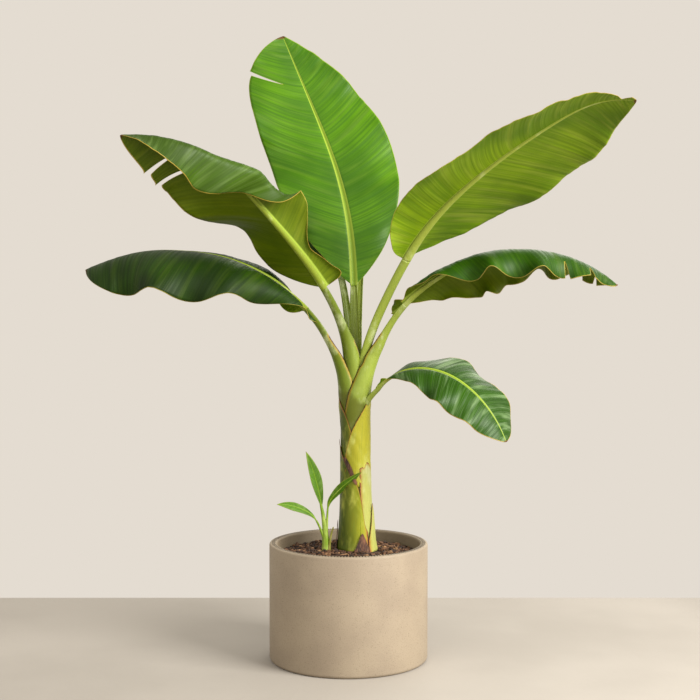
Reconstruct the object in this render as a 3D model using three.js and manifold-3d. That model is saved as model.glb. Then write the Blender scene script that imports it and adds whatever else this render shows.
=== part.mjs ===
// A young dwarf banana plant in a round stoneware planter.
// Millimetres, +Z up. The origin is the middle of the pot's flat underside.
// Bearings are degrees counted from +X towards +Y, rises are degrees above the level.
import * as THREE from "three";
import { mergeVertices } from "three/addons/utils/BufferGeometryUtils.js";
import Module from "manifold-3d";

const wasm = await Module();
wasm.setup();

// ---- driving dimensions ----

const GAP = 0.3; // clearance between pieces that touch
const POT = { radius: 200, height: 295, wall: 20, floor: 25, footRound: 9, rimRound: 6, sides: 40 };
const SOIL = { edge: 262, middle: 276, flatRadius: 125, bump: 4 };

// Height above the pot's underside and radius of the stem without its old sheaths.
const STEM = { foot: SOIL.middle + GAP, top: 730, footX: 20, topX: 16, y: 0 };
const STEM_RADIUS = [[276, 46], [300, 42], [340, 39], [400, 36], [500, 34], [600, 35],
  [660, 36], [700, 30], [730, 18]];

const SHEATH = { thickness: 2.2, clear: 0.8 };
const BLADE = { thickness: 3, ribWidth: 9, ribDepth: 8, veinLean: 0.1, crestWidth: 0.4,
  columns: 3, rows: 13, rowsPerWave: 4, notch: 0.012 };
const PETIOLE = { sides: 8, step: 40 };
const STEP = 5; // spacing of the points along a leaf's midrib

// ---- helpers ----

const rad = (degrees) => (degrees * Math.PI) / 180;
const clamp = (x, low, high) => Math.min(Math.max(x, low), high);

// A smooth value at x through [position, value] stations.
function ease(stations, x) {
  const last = stations.length - 1;
  if (x <= stations[0][0]) return stations[0][1];
  if (x >= stations[last][0]) return stations[last][1];
  let i = 0;
  while (x > stations[i + 1][0]) i += 1;
  const [x0, y0] = stations[i];
  const [x1, y1] = stations[i + 1];
  const h = x1 - x0;
  const slope = (y1 - y0) / h;
  const before = i === 0 ? slope : (y1 - stations[i - 1][1]) / (x1 - stations[i - 1][0]);
  const after = i === last - 1 ? slope : (stations[i + 2][1] - y0) / (stations[i + 2][0] - x0);
  const q = (x - x0) / h;
  const start = (2 * q ** 3 - 3 * q ** 2 + 1) * y0 + (q ** 3 - 2 * q ** 2 + q) * h * before;
  const end = (3 * q ** 2 - 2 * q ** 3) * y1 + (q ** 3 - q ** 2) * h * after;
  return start + end;
}

// Moves every vertex of a closed three.js geometry and welds its seams.
function shaped(geometry, place) {
  const points = geometry.attributes.position;
  const p = new THREE.Vector3();
  for (let i = 0; i < points.count; i += 1) {
    const q = place(p.fromBufferAttribute(points, i));
    points.setXYZ(i, q.x, q.y, q.z);
  }
  return welded(geometry);
}

function welded(geometry) {
  geometry.deleteAttribute("normal");
  geometry.deleteAttribute("uv");
  const merged = mergeVertices(geometry, 1e-3);
  merged.computeVertexNormals();
  return merged;
}

function toSolid(geometry) {
  const vertProperties = new Float32Array(geometry.attributes.position.array);
  const triVerts = new Uint32Array(geometry.index.array);
  return new wasm.Manifold(new wasm.Mesh({ numProp: 3, vertProperties, triVerts }));
}

// The largest single body of a solid, as a three.js geometry.
function fromSolid(solid) {
  const bodies = solid.decompose().sort((a, b) => b.volume() - a.volume());
  const mesh = bodies[0].getMesh();
  const geometry = new THREE.BufferGeometry();
  geometry.setAttribute("position", new THREE.BufferAttribute(mesh.vertProperties, 3));
  geometry.setIndex(new THREE.BufferAttribute(mesh.triVerts, 1));
  geometry.computeVertexNormals();
  return geometry;
}

const plant = new THREE.Group();

function add(name, geometry, color, roughness) {
  const material = new THREE.MeshStandardMaterial({ color, roughness, metalness: 0 });
  const mesh = new THREE.Mesh(geometry, material);
  mesh.name = name;
  plant.add(mesh);
}

// ---- pot: one turned wall and floor with a rounded foot and rim ----

function potGeometry() {
  const { radius, height, wall, floor, footRound, rimRound } = POT;
  const inner = radius - wall;
  const outline = new THREE.Path();
  outline.moveTo(0, 0);
  outline.lineTo(radius - footRound, 0);
  outline.absarc(radius - footRound, footRound, footRound, -Math.PI / 2, 0);
  outline.lineTo(radius, height - rimRound);
  outline.absarc(radius - rimRound, height - rimRound, rimRound, 0, Math.PI / 2);
  outline.absarc(inner + rimRound, height - rimRound, rimRound, Math.PI / 2, Math.PI);
  outline.lineTo(inner, floor);
  outline.lineTo(0, floor);
  const turned = new THREE.LatheGeometry(outline.getPoints(1), POT.sides);
  return welded(turned.rotateX(Math.PI / 2));
}

// ---- soil: fills the pot to its inner wall, level round the stem and lumpy outside that ----

function soilHeight(x, y) {
  const r = Math.hypot(x, y);
  const reach = POT.radius - POT.wall - GAP;
  const q = clamp((r - SOIL.flatRadius) / (reach - SOIL.flatRadius), 0, 1);
  const lumps = Math.sin(x / 11) * Math.cos(y / 13) * SOIL.bump * Math.sin(Math.PI * q);
  return SOIL.middle - (SOIL.middle - SOIL.edge) * q + lumps;
}

function soilGeometry() {
  const reach = POT.radius - POT.wall - GAP;
  const profile = [new THREE.Vector2(0, 0), new THREE.Vector2(reach, 0)];
  const rings = 3;
  for (let i = 0; i <= rings; i += 1) {
    profile.push(new THREE.Vector2(reach - ((reach - SOIL.flatRadius) * i) / rings, 1));
  }
  profile.push(new THREE.Vector2(0, 1));
  const disc = new THREE.LatheGeometry(profile, POT.sides).rotateX(Math.PI / 2);
  return shaped(disc, (p) => {
    p.z = p.z > 0.5 ? soilHeight(p.x, p.y) : POT.floor + GAP;
    return p;
  });
}

// ---- pseudostem: one tapering column from its flat cut on the soil to the fork ----

function stemCentre(z) {
  const q = clamp((z - STEM.foot) / (STEM.top - STEM.foot), 0, 1);
  return new THREE.Vector3(STEM.footX + (STEM.topX - STEM.footX) * q, STEM.y, z);
}

function stemGeometry(swell) {
  const column = new THREE.CylinderGeometry(1, 1, 1, 18, 12).rotateX(Math.PI / 2);
  return shaped(column, (p) => {
    const q = (p.z + 0.5) ** 1.4;
    const z = STEM.foot + (STEM.top - STEM.foot) * q + (q === 1 ? swell : 0);
    const radius = ease(STEM_RADIUS, z) + swell;
    const centre = stemCentre(z);
    return centre.add(new THREE.Vector3(p.x * radius, p.y * radius, 0));
  });
}

// ---- old leaf sheaths: thin shells wrapped round the stem, each cut or dried to its own edge ----
// from and to are bearings round the stem, top and bottom are heights by bearing, and layer
// counts the sheaths that lie under this one.

const EDGE_OF_DRY_SHEATH = [[-230, 500], [-180, 556], [-133, 513], [-100, 462], [-85, 452],
  [-64, 402], [-55, 330]];
const SHEATHS = [
  { name: "sheath_cut_right", layer: 0, from: -133, to: 70, color: 0xa9b02c,
    top: [[-133, 513], [-108, 572], [-88, 602], [-50, 637], [0, 650], [70, 560]],
    bottom: [[-133, 440], [70, 440]] },
  { name: "sheath_dry_edge", layer: 1, from: -230, to: -55, color: 0x8f9a2e,
    top: EDGE_OF_DRY_SHEATH, bottom: [[-230, STEM.foot], [-55, STEM.foot]] },
  { name: "sheath_pale_right", layer: 1, from: -73, to: 85, color: 0xb9bd55,
    top: [[-73, 485], [-39, 499], [-20, 490], [0, 470], [85, 430]],
    bottom: [[-73, 440], [-58, 380], [-45, 330], [-35, STEM.foot], [85, STEM.foot]] },
  { name: "sheath_foot_right", layer: 2.2, from: -53, to: 40, color: 0x9fa63a,
    top: [[-53, 300], [-35, 350], [-20, 397], [0, 340], [40, 290]],
    bottom: [[-53, STEM.foot], [40, STEM.foot]] },
  { name: "sheath_foot_dry", layer: 2, from: -94, to: -56, color: 0x7a4a35,
    top: [[-94, 284], [-72, 318], [-56, 286]], bottom: [[-94, STEM.foot], [-56, STEM.foot]] },
  { name: "sheath_foot_left", layer: 2, from: -205, to: -160, color: 0x5b4a2a,
    top: [[-205, 300], [-180, 345], [-160, 290]], bottom: [[-205, STEM.foot], [-160, STEM.foot]] },
];

function sheathGeometry(sheath, swell) {
  const { thickness, clear } = SHEATH;
  const around = Math.max(4, Math.round((sheath.to - sheath.from) / 16));
  const shell = new THREE.BoxGeometry(1, 1, 1, around, 1, 5);
  return shaped(shell, (p) => {
    const bearing = sheath.from + (sheath.to - sheath.from) * (p.x + 0.5);
    const low = Math.max(STEM.foot, ease(sheath.bottom, bearing));
    const high = ease(sheath.top, bearing);
    const z = low - swell + (high - low + 2 * swell) * (p.z + 0.5) ** 1.3;
    const outward = p.y < 0 ? 1 : 0;
    const layer = clear + sheath.layer * (thickness + clear) + outward * thickness;
    const radius = ease(STEM_RADIUS, z) + layer + (outward ? swell : 0);
    const side = Math.sign(p.x) * (Math.abs(p.x) === 0.5 ? swell : 0);
    const angle = rad(bearing) + side / radius;
    const centre = stemCentre(z);
    return centre.add(new THREE.Vector3(Math.cos(angle) * radius, Math.sin(angle) * radius, 0));
  });
}

// ---- leaves ----
// foot is where the petiole's centre line leaves the inside of the stem, base is the length
// of that line up to the blade and end its length up to the tip. bearing, rise and roll are
// stations along that line. Each half of the blade, seen from above with the tip ahead, has
// its width, its angle to the midrib's plane (fold) and how far it turns from there to the
// margin (curl) at stations from base 0 to tip 1, and its waves [degrees, count, start].
// root and tip are the two powers that round the outline off towards its ends, and trim is
// the share of it that is left. A half that folds over turns by hinge along its crest.

const LEAVES = [
  { name: "centre", foot: [16, 0, 655], base: 292, end: 1010, thick: [19, 7], widest: 0.45,
    bearing: [[0, 95], [300, 95], [500, 119], [700, 141], [1010, 168]],
    rise: [[0, 86], [100, 85], [300, 73], [500, 68], [700, 64], [1010, 67]],
    roll: [[0, 0]], upper: 0x4f8a1e,
    left: { width: 163, root: [1.8, 0.8], tip: [4.5, 0.52], fold: [[0, 10]], lean: 0.2, curl: [[0, -15],
      [0.5, -25], [1, -5]], wave: [8, 3, 0.05], tears: [[0.79, 0.6]] },
    right: { width: 160, root: [1.7, 0.85], tip: [1.9, 0.85], fold: [[0, 10]], curl: [[0, -15]],
      wave: [6, 4, 0], tears: [] } },
  { name: "upper_left", foot: [21, 0, 655], base: 310, end: 980, thick: [21, 9], widest: 0.45,
    columns: 4,
    bearing: [[0, 225], [100, 230], [300, 221], [500, 221], [700, 220], [830, 212], [980, 197]],
    rise: [[0, 84], [100, 75], [200, 62], [300, 52], [450, 43], [700, 36], [830, 15], [980, -5]],
    roll: [[0, 0]], upper: 0x5f8040,
    left: { width: 155, root: [1.6, 0.35], tip: [2, 0.62], trim: [[0, 1.2], [0.05, 0.65], [0.1, 0.42],
      [0.15, 0.26], [0.2, 0.31], [0.25, 0.5], [0.3, 0.64], [0.4, 0.65], [0.5, 0.71], [0.6, 0.98],
      [0.7, 0.9], [0.8, 0.82], [1, 1]], fold: [[0, 75], [0.2, 80], [0.33, 78], [0.4, 60], [0.5, 55],
      [0.6, 40], [0.7, 12], [1, 0]], curl: [[0, -40], [0.2, -30], [0.3, -40], [0.5, -15], [1, -20]],
      crest: [[0, 0.8], [0.3, 0.8], [0.4, 0.62], [0.5, 0.48], [0.6, 0.33], [0.7, 0.25], [1, 0.25]],
      hinge: [[0, -50], [0.15, -60], [0.25, 0], [0.34, 10], [0.4, -110], [0.5, -160], [0.6, -140],
      [0.7, -115], [0.8, -80], [0.9, -50], [1, -10]], wave: [0, 1, 0], tears: [] },
    right: { width: 162, root: [1.6, 0.6], tip: [2, 0.62], lean: 0.18, trim: [[0, 1], [0.06, 1.2],
      [0.12, 1.22], [0.2, 1.03], [0.27, 0.96], [0.4, 1], [1, 1]], fold: [[0, -5], [0.2, 0], [0.3, 4],
      [0.42, -8], [0.6, -18], [0.8, -36], [1, -50]], curl: [[0, -25], [0.2, -10], [0.3, -5],
      [0.42, -20], [0.6, -25], [1, -10]], wave: [6, 3, 0.1], tears: [[0.64, 0.6], [0.76, 0.6]] } },
  { name: "lower_left", foot: [9, 0, 604], base: 315, end: 905, thick: [20, 9], widest: 0.45,
    bearing: [[0, 210], [100, 213], [200, 207], [300, 200], [400, 194], [500, 187], [700, 178]],
    rise: [[0, 84], [100, 73], [200, 62], [300, 47], [400, 35], [500, 24], [600, 9], [700, 0],
      [800, -15], [905, -24]],
    roll: [[0, 0]], upper: 0x2f5216,
    left: { width: 185, root: [2, 0.7], tip: [4, 0.5], trim: [[0, 0.4], [0.1, 0.58], [0.2, 0.78],
      [0.3, 0.86], [0.5, 1.03], [0.8, 0.97], [1, 0.95]], fold: [[0, -12], [1, -15]], curl: [[0, -85]],
      wave: [17, 2.98, 0.235], tears: [] },
    right: { width: 140, root: [2.2, 0.62], tip: [2, 0.62], fold: [[0, -20], [0.12, 50], [0.4, 40],
      [0.6, 25], [1, 15]], curl: [[0, -90], [0.12, -100], [0.5, -90], [1, -70]], wave: [15, 3, 0.5],
      tears: [] } },
  { name: "upper_right", foot: [21, 0, 655], base: 395, end: 1095, thick: [21, 9], widest: 0.45,
    bearing: [[0, -35], [200, -39], [350, -46], [500, -42], [700, -37], [900, -30], [1095, -22]],
    rise: [[0, 84], [100, 76], [200, 63], [300, 56], [400, 50], [500, 43], [600, 36], [800, 29],
      [950, 23], [1095, -12]],
    roll: [[0, 0], [300, 0], [500, 14]], upper: 0x4a7a22,
    left: { width: 202, widest: 0.42, root: [1.8, 0.85], tip: [2.6, 0.75], fold: [[0, 5], [1, -5]],
      curl: [[0, -10], [0.3, -12], [1, -25]], wave: [3, 3, 0.4], tears: [] },
    right: { width: 136, widest: 0.36, root: [3, 0.55], tip: [2, 0.8], fold: [[0, 5]], trim: [[0, 1],
      [0.2, 1.05], [0.3, 1.11], [0.4, 1.07], [0.5, 0.92], [0.6, 0.97], [0.75, 1], [1, 1]],
      curl: [[0, -10], [1, -20]], wave: [3, 3, 0.6], tears: [] } },
  { name: "lower_right", foot: [24, 0, 604], base: 325, end: 900, thick: [20, 9], widest: 0.42,
    bearing: [[0, -30], [200, -26], [300, -25], [400, -18], [600, -11], [900, -4]],
    rise: [[0, 84], [100, 72], [200, 65], [300, 49], [400, 34], [500, 26], [600, 7], [700, -8],
      [900, -42]],
    roll: [[0, 0]], upper: 0x406a20,
    left: { width: 122, root: [1.5, 0.9], tip: [2, 0.62], fold: [[0, -20], [0.4, -10], [0.47, 0],
      [0.6, 8], [1, 5]], curl: [[0, -60], [0.3, -110], [0.45, -95], [0.55, -70], [0.7, -60], [1, -50]],
      wave: [23, 5.5, -0.295], tears: [] },
    right: { width: 125, root: [1.5, 0.9], tip: [2, 0.62], fold: [[0, 30], [0.12, 22], [0.25, 20],
      [0.4, 8], [0.6, 0], [1, 0]], curl: [[0, 0], [0.12, -30], [0.25, -100], [0.4, -95], [1, -80]],
      wave: [24, 4.6, -0.81], tears: [] } },
  { name: "small_right", foot: [21, 0, 554], base: 175, end: 575, thick: [11, 6], widest: 0.5,
    bearing: [[0, -38], [100, -38], [200, -27], [300, -24], [400, -21], [575, -15]],
    rise: [[0, 72], [60, 68], [100, 62], [200, 29], [300, -6], [400, -35], [500, -56], [575, -70]],
    roll: [[0, 0], [180, 0], [280, -25], [575, -30]], upper: 0x4f8030,
    left: { width: 98, root: [3, 0.5], tip: [3, 0.7], fold: [[0, 25], [0.12, 20], [0.25, 8], [1, 5]],
      trim: [[0, 1], [0.2, 1], [0.38, 0.9], [0.5, 1], [0.7, 0.9], [0.85, 1.04], [1, 1.1]],
      curl: [[0, -25], [1, -15]], wave: [12, 3, 0], tears: [] },
    right: { width: 93, root: [1.4, 1], tip: [2.6, 0.7], fold: [[0, 0], [1, -5]], curl: [[0, -60],
      [1, -20]], wave: [12, 4, 0.2], tears: [] } },
  { name: "back_left", foot: [12, 20, 655], base: 340, end: 830, thick: [15, 8], widest: 0.45,
    bearing: [[0, 110], [300, 112], [420, 124], [830, 132]],
    rise: [[0, 84], [150, 77], [340, 57], [500, 38], [650, 14], [830, -14]],
    roll: [[0, 0]], upper: 0x3c6a1c,
    left: { width: 90, root: [2.2, 0.62], tip: [2, 0.62], fold: [[0, 10], [1, -5]],
      curl: [[0, -50], [1, -60]], wave: [12, 3, 0.3], tears: [] },
    right: { width: 80, root: [1.6, 1], tip: [2, 0.62], fold: [[0, 40], [0.3, 10], [1, -5]],
      curl: [[0, -30], [1, -60]], wave: [12, 3, 0.1], tears: [] } },
  { name: "back_right", foot: [21, 20, 655], base: 380, end: 920, thick: [14, 8], widest: 0.45,
    bearing: [[0, 85], [400, 82], [600, 82], [920, 80]],
    rise: [[0, 84], [150, 78], [400, 54], [550, 30], [700, 4], [820, -16], [920, -32]],
    roll: [[0, 0]], upper: 0x3c6a1c,
    left: { width: 80, root: [1.6, 1], tip: [2, 0.62], fold: [[0, -25], [0.3, 0], [1, -5]],
      curl: [[0, -40], [1, -60]], wave: [12, 3, 0.6], tears: [] },
    right: { width: 75, root: [2.2, 0.62], tip: [2, 0.62], fold: [[0, 10], [1, -5]],
      curl: [[0, -40], [1, -60]], wave: [12, 3, 0.2], tears: [] } },
];

// Points every STEP along the midrib, each with its direction T, its right-hand side S and
// its upper side N. The sides are carried along without twist, then rolled.
function midrib(leaf) {
  const turn = rad(leaf.bearing[0][1]);
  const point = new THREE.Vector3(...leaf.foot);
  const side = new THREE.Vector3(Math.sin(turn), -Math.cos(turn), 0);
  const frames = [];
  for (let s = 0; s <= leaf.end; s += STEP) {
    const bearing = rad(ease(leaf.bearing, s));
    const rise = rad(ease(leaf.rise, s));
    const level = Math.cos(rise);
    const T = new THREE.Vector3(Math.cos(bearing) * level, Math.sin(bearing) * level, Math.sin(rise));
    side.addScaledVector(T, -side.dot(T)).normalize();
    const roll = rad(ease(leaf.roll, s));
    const flat = side.clone().cross(T);
    const S = side.clone().multiplyScalar(Math.cos(roll)).addScaledVector(flat, Math.sin(roll));
    frames.push({ P: point.clone(), T, S, N: S.clone().cross(T) });
    point.addScaledVector(T, STEP);
  }
  return frames;
}

function frameAt(frames, s) {
  const i = clamp(s / STEP, 0, frames.length - 1.001);
  const [a, b] = [frames[Math.floor(i)], frames[Math.floor(i) + 1]];
  const q = i - Math.floor(i);
  const mix = (key) => a[key].clone().lerp(b[key], q);
  return { P: mix("P"), T: mix("T").normalize(), S: mix("S").normalize(), N: mix("N").normalize() };
}

// Half width at t from base 0 to tip 1, as a share of the widest.
function outline(leaf, half, t) {
  const widest = half.widest ?? leaf.widest;
  if (t < widest) return (1 - (1 - t / widest) ** half.root[0]) ** half.root[1];
  return (1 - ((t - widest) / (1 - widest)) ** half.tip[0]) ** half.tip[1];
}

// A point of one half of the blade: v runs from 0 at the midrib to 1 at the margin. Veins lean
// on towards the tip. lift is the distance above the blade's middle surface.
function bladePoint(leaf, frames, half, side, t, v, lift) {
  const lean = (half.lean ?? BLADE.veinLean) * 3.6 * t * (1 - t);
  const tv = clamp(t + lean * v ** 1.4, 0, 1);
  const reached = clamp(t + lean, 0, 1);
  const trim = half.trim ? ease(half.trim, reached) : 1;
  const width = half.width * outline(leaf, half, reached) * trim;
  const fold = rad(ease(half.fold, tv));
  const curl = rad(ease(half.curl, tv));
  const hinge = half.hinge ? rad(ease(half.hinge, tv)) : 0;
  const crest = half.crest ? ease(half.crest, tv) : 0;
  const [swing, count, start] = half.wave;
  const wave = rad(swing) * Math.sin(2 * Math.PI * (count * tv + start)) * 1.6;
  const slices = Math.max(1, Math.ceil(v * 16));
  let across = 0;
  let above = 0;
  let angle = fold;
  for (let k = 0; k < slices; k += 1) {
    const u = ((k + 0.5) / slices) * v;
    const bend = clamp((u - crest) / BLADE.crestWidth + 0.5, 0, 1);
    angle = fold + curl * u + wave * u * u + hinge * (3 * bend ** 2 - 2 * bend ** 3);
    across += (Math.cos(angle) * v) / slices;
    above += (Math.sin(angle) * v) / slices;
  }
  const { P, S, N } = frameAt(frames, leaf.base + tv * (leaf.end - leaf.base));
  P.addScaledVector(S, side * (across * Math.max(width, 3) - Math.sin(angle) * lift));
  return P.addScaledVector(N, above * Math.max(width, 3) + Math.cos(angle) * lift);
}

// Stations along the blade: evenly spaced, with three close ones round each tear.
function bladeRows(leaf, count) {
  const { notch } = BLADE;
  const tears = [...leaf.left.tears, ...leaf.right.tears].map(([t]) => t);
  const even = Array.from({ length: count + 1 }, (_, i) => 0.5 - 0.5 * Math.cos((Math.PI * i) / count));
  const clear = even.filter((t) => tears.every((tear) => Math.abs(t - tear) > 2 * notch));
  return [...clear, ...tears.flatMap((t) => [t - notch, t, t + notch])].sort((a, b) => a - b);
}

// A closed slab over a grid of points, place(row, column, face), with face 1 above and -1
// below. Both faces are split along the same diagonals, the shorter ones of the upper face,
// so that they keep their distance where the slab is warped.
function slabGeometry(rows, columns, place) {
  const across = columns + 1;
  const layer = (rows + 1) * across;
  const points = Array.from({ length: 2 * layer }, (_, i) => {
    const onFace = i % layer;
    return place(Math.floor(onFace / across), onFace % across, i < layer ? 1 : -1);
  });
  const index = [];
  for (let row = 0; row < rows; row += 1) {
    for (let column = 0; column < columns; column += 1) {
      const a = row * across + column;
      const [b, c, d] = [a + 1, a + across, a + across + 1];
      const straight = points[a].distanceTo(points[d]) < points[b].distanceTo(points[c]);
      const halves = straight ? [[a, b, d], [a, d, c]] : [[a, b, c], [b, d, c]];
      for (const [p, q, r] of halves) index.push(p, q, r, p + layer, r + layer, q + layer);
    }
  }
  const along = (count, start, step) => Array.from({ length: count }, (_, i) => start + i * step);
  const rim = [...along(columns, 0, 1), ...along(rows, columns, across),
    ...along(columns, layer - 1, -1), ...along(rows, layer - across, -across)];
  rim.forEach((p, i) => {
    const q = rim[(i + 1) % rim.length];
    index.push(q, p, p + layer, q, p + layer, q + layer);
  });
  const geometry = new THREE.BufferGeometry().setFromPoints(points);
  geometry.setIndex(index);
  return welded(geometry);
}

// A thin closed solid of the blade with the midrib's keel under it.
function bladeGeometry(leaf, frames, rows, columns) {
  const stations = bladeRows(leaf, rows);
  const middle = columns + 1;
  return slabGeometry(stations.length - 1, 2 * middle, (row, place, face) => {
    const t = stations[row];
    const side = place < middle ? -1 : 1;
    const half = side < 0 ? leaf.left : leaf.right;
    const column = Math.abs(place - middle);
    const torn = half.tears.find(([tear]) => tear === t);
    const reach = torn ? 1 - torn[1] : 1;
    const rib = BLADE.ribWidth / half.width;
    const v = column === 0 ? 0 : rib + (reach - rib) * ((column - 1) / columns);
    const keel = face < 0 && column === 0 ? BLADE.ribDepth * (1 - t) : 0;
    return bladePoint(leaf, frames, half, side, t, v, face * (BLADE.thickness / 2) - keel);
  });
}

// The petiole: one tapering limb from inside the stem to the blade's base.
function petioleGeometry(leaf, frames, swell) {
  const [thick, thin] = leaf.thick;
  const steps = Math.ceil(leaf.base / PETIOLE.step);
  const limb = new THREE.CylinderGeometry(1, 1, 1, PETIOLE.sides, steps).rotateX(Math.PI / 2);
  return shaped(limb, (p) => {
    const q = p.z + 0.5;
    const radius = thick + (thin - thick) * q ** 0.7 + swell;
    const { P, T, S, N } = frameAt(frames, (leaf.base - GAP) * q);
    P.addScaledVector(T, q === 1 ? swell : 0);
    return P.addScaledVector(N, p.x * radius).addScaledVector(S, p.y * radius);
  });
}

// ---- sucker: a young side shoot with a short stem, three narrow leaves and a bare stub ----

const SUCKER_STEM = { foot: [-57, -15, SOIL.middle + GAP], base: 112, end: 120, thick: [8, 5],
  bearing: [[0, 180]], rise: [[0, 90], [110, 78]], roll: [[0, 0]] };
const YOUNG_LEAF = { rows: 6, columns: 2 };
const blunt = { root: [1.6, 0.9], tip: [1.6, 0.9], wave: [0, 1, 0], tears: [] };
// at is the height up the sucker's stem where a leaf leaves it.
const SUCKER_LEAVES = [
  { name: "upright", at: 108, base: 0, end: 150, widest: 0.5,
    bearing: [[0, 195]], rise: [[0, 82], [150, 66]], roll: [[0, 75]],
    left: { ...blunt, width: 16, fold: [[0, 20]], curl: [[0, -20]] },
    right: { ...blunt, width: 16, fold: [[0, 20]], curl: [[0, -20]] } },
  { name: "right", at: 75, base: 0, end: 165, widest: 0.65,
    bearing: [[0, -48], [165, -22]], rise: [[0, 66], [165, 36]], roll: [[0, 35]],
    left: { ...blunt, width: 15, fold: [[0, 15]], curl: [[0, -30]] },
    right: { ...blunt, width: 15, fold: [[0, 15]], curl: [[0, -30]] } },
  { name: "left", at: 50, base: 0, end: 140, widest: 0.6,
    bearing: [[0, 195]], rise: [[0, 66], [70, 22], [140, 0]], roll: [[0, 45]],
    left: { ...blunt, width: 13, fold: [[0, 10]], curl: [[0, -40]] },
    right: { ...blunt, width: 13, fold: [[0, 15]], curl: [[0, -30]] } },
];
const SUCKER_STUB = { foot: [-43, -20, SOIL.middle + GAP], base: 52, end: 60, thick: [5, 1.5],
  bearing: [[0, -20]], rise: [[0, 90], [60, 72]], roll: [[0, 0]] };

// ---- the assembly ----

add("pot", potGeometry(), 0xbfa98a, 0.85);
add("soil", soilGeometry(), 0x3b261a, 1);
add("pseudostem", stemGeometry(0), 0x9fa838, 0.6);

// A closed geometry less every solid in a list.
function cutBack(geometry, solids) {
  return fromSolid(solids.reduce((rest, solid) => rest.subtract(solid), toSolid(geometry)));
}

// Each sheath is cut back to clear the sheaths under it.
const taken = [];
for (const sheath of SHEATHS) {
  add(sheath.name, cutBack(sheathGeometry(sheath, 0), taken), sheath.color, 0.65);
  taken.push(toSolid(sheathGeometry(sheath, GAP)));
}

// Each petiole is cut back to clear the stem, the sheaths and the petioles before it.
taken.push(toSolid(stemGeometry(GAP)));
for (const leaf of LEAVES) {
  const frames = midrib(leaf);
  add(`petiole_${leaf.name}`, cutBack(petioleGeometry(leaf, frames, 0), taken), 0xa5b95f, 0.5);
  taken.push(toSolid(petioleGeometry(leaf, frames, GAP)));
  const waves = Math.max(leaf.left.wave[1], leaf.right.wave[1]);
  const rows = Math.max(BLADE.rows, Math.round(BLADE.rowsPerWave * waves));
  const blade = bladeGeometry(leaf, frames, rows, leaf.columns ?? BLADE.columns);
  add(`blade_${leaf.name}`, blade, leaf.upper, 0.5);
}

const suckerFrames = midrib(SUCKER_STEM);
const suckerClear = toSolid(petioleGeometry(SUCKER_STEM, suckerFrames, GAP));
add("sucker_stem", petioleGeometry(SUCKER_STEM, suckerFrames, 0), 0x9fb64a, 0.55);
for (const leaf of SUCKER_LEAVES) {
  const rooted = { ...leaf, foot: frameAt(suckerFrames, leaf.at).P.toArray() };
  const blade = bladeGeometry(rooted, midrib(rooted), YOUNG_LEAF.rows, YOUNG_LEAF.columns);
  add(`sucker_leaf_${leaf.name}`, cutBack(blade, [suckerClear]), 0x5c8f2c, 0.5);
}
add("sucker_stub", petioleGeometry(SUCKER_STUB, midrib(SUCKER_STUB), 0), 0x8fae3f, 0.55);

export default plant;
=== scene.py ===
import math
import random

import bmesh
import bpy
import numpy as np
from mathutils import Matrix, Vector, noise


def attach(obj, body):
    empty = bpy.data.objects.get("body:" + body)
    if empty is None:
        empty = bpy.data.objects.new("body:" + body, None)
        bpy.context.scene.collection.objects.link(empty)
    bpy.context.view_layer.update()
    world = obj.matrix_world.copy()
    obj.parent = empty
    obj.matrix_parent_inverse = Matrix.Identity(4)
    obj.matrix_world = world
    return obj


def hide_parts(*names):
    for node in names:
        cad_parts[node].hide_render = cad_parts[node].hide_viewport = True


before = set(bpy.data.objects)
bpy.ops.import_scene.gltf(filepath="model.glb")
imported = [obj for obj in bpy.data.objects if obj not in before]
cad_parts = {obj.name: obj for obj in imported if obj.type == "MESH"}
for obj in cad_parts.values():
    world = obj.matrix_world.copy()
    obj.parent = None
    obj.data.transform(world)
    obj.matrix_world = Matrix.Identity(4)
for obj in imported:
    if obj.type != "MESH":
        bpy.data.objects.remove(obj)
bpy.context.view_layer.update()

# ---- the room ----
# A plain pale floor that ends some way behind the pot, with even pale air beyond it, soft light
# from large windows to the right, in front and behind, and a camera level with the stalks.


def deselect():
    """Leave nothing selected, so that an operator acts on its own piece alone."""
    for thing in bpy.context.selected_objects:
        thing.select_set(False)


def paint(code):
    """A colour written as six hexadecimal digits, as linear light."""
    parts = [int(code[i : i + 2], 16) / 255 for i in (0, 2, 4)]
    linear = [c / 12.92 if c <= 0.04045 else ((c + 0.055) / 1.055) ** 2.4 for c in parts]
    return (*linear, 1.0)


class Wire:
    """A shader socket. Sums on it add their own Math nodes."""

    def __init__(self, finish, socket):
        self.finish = finish
        self.socket = socket

    def math(self, operation, first, second):
        return self.finish.node("Math", {"operation": operation}, {0: first, 1: second})

    def __add__(self, other):
        return self.math("ADD", self, other)

    def __mul__(self, other):
        return self.math("MULTIPLY", self, other)

    def __sub__(self, other):
        return self.math("SUBTRACT", self, other)

    def __rsub__(self, other):
        return self.math("SUBTRACT", other, self)

    __radd__ = __add__
    __rmul__ = __mul__

    def ramp(self, low, high):
        """0 below low, 1 above high and a soft step between, and the other way if low > high."""
        settings = {"interpolation_type": "SMOOTHSTEP"}
        stops = {0: self, 1: min(low, high), 2: max(low, high)}
        step = self.finish.node("MapRange", settings, stops)
        return step if low < high else 1 - step


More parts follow.
